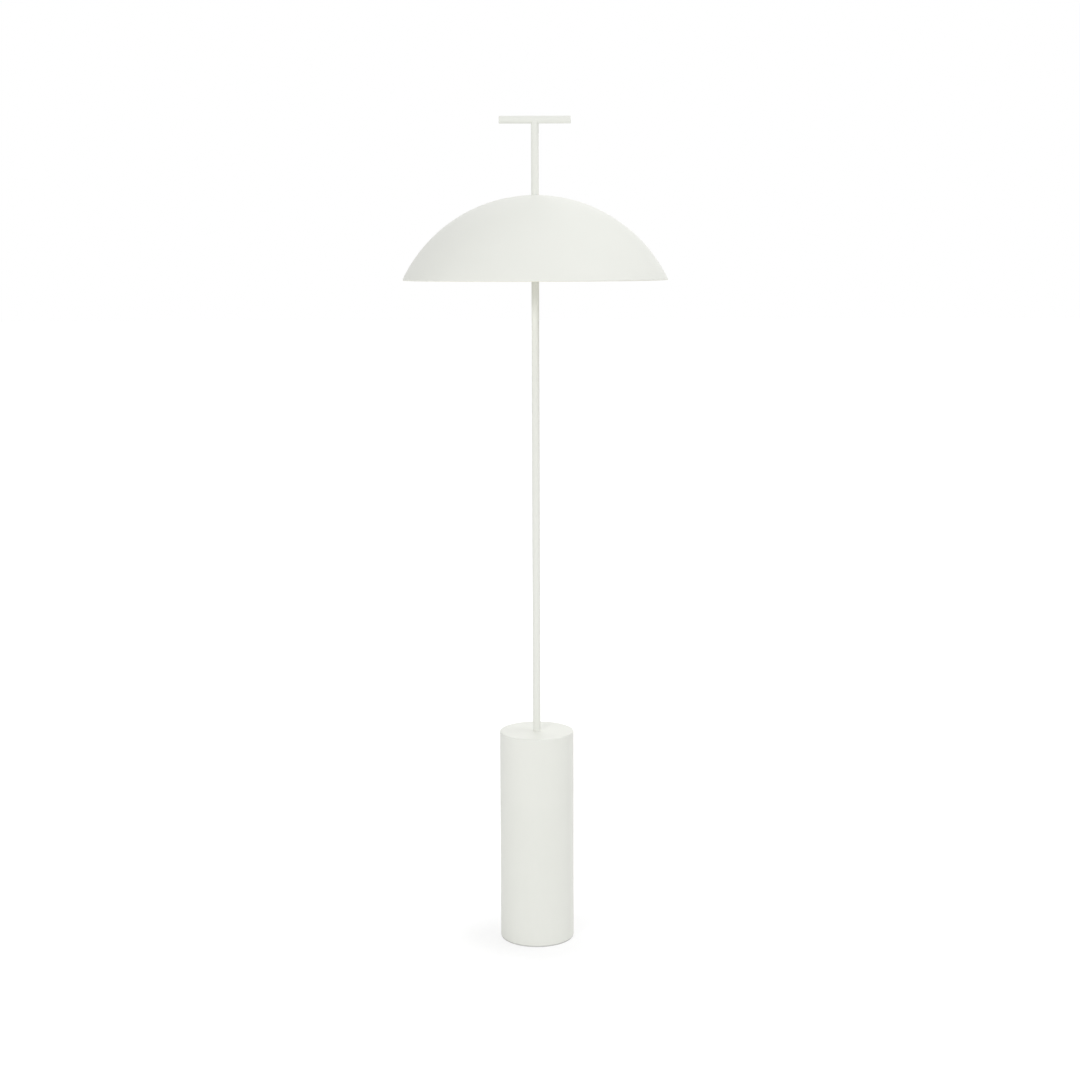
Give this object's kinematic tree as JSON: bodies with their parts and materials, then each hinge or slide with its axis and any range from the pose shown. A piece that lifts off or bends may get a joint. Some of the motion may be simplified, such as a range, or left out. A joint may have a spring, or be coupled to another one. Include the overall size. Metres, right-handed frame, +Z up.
{
  "type": "floor lamp",
  "caption": "Floor lamp with a weighted cylinder base, a slim stem, a domed downlight shade and a T handle above it, all in satin off-white.",
  "frame": {"origin": "on the floor, at the centre of the base", "axes": "+Z up along the stem, -Y is the front and +X is to the right of someone who faces the front; the handle bar runs along X and the cord inlet is at the back, +Y"},
  "size_m": [0.4159, 0.416, 1.32],
  "materials": {
    "white_paint": "satin off-white powder coat on steel",
    "shade_paint": "satin off-white powder coat on spun aluminium",
    "steel": "zinc plated steel",
    "cast_iron": "raw casting",
    "rubber": "matte pale grey rubber",
    "white_plastic": "matte off-white moulding",
    "nylon": "natural nylon",
    "aluminium": "cast and turned aluminium",
    "opal": "opal acrylic",
    "led_board": "white solder resist",
    "leds": "phosphor over a white package",
    "circuit_board": "green solder resist",
    "black_plastic": "moulded plastic",
    "terminal_plastic": "moulded plastic",
    "brass": "turned brass",
    "cable": "grey cable jacket"
  },
  "bodies": {
    "stand": {"base_shell": "white_paint", "stem_tube": "white_paint", "handle_post": "white_paint", "handle_bar": "white_paint", "base_plate": "steel", "plate_screws": "steel", "ballast_screws": "steel", "driver_bracket": "steel", "bracket_screws": "steel", "driver_screws": "steel", "stem_socket": "steel", "stem_nipple": "steel", "stem_washer": "steel", "stem_nut": "steel", "hub_grub_screws": "steel", "hub_screws": "steel", "board_screws": "steel", "clamp_stud": "steel", "bar_stud": "steel", "ballast": "cast_iron", "foot_ring": "rubber", "cord_bush": "white_plastic", "diffuser_ring": "white_plastic", "diffuser_collar": "white_plastic", "lower_washer": "nylon", "upper_washer": "nylon", "shade_hub": "aluminium", "heat_sink": "aluminium", "diffuser": "opal", "led_board": "led_board", "leds": "leds", "dimmer_board": "circuit_board", "led_driver": "black_plastic", "dimmer_switch": "black_plastic", "terminal_block": "terminal_plastic", "terminal_screws": "brass", "stem_cable": "cable", "supply_leads": "cable", "dimmer_lead": "cable"},
    "shade": {"shade_dome": "shade_paint"},
    "dimmer": {"dimmer_button": "white_plastic"}
  },
  "joints": [
    {"name": "shade_turn", "type": "hinge", "parent": "stand", "child": "shade", "pos_m": [0, 0, 1.198], "axis": [0, 0, 1], "continuous": true},
    {"name": "dimmer_press", "type": "slide", "parent": "stand", "child": "dimmer", "axis": [0, 0, 1], "range_m": [0, 0.0015], "stiffness_N_per_m": 600, "springref_m": -0.0005}
  ]
}
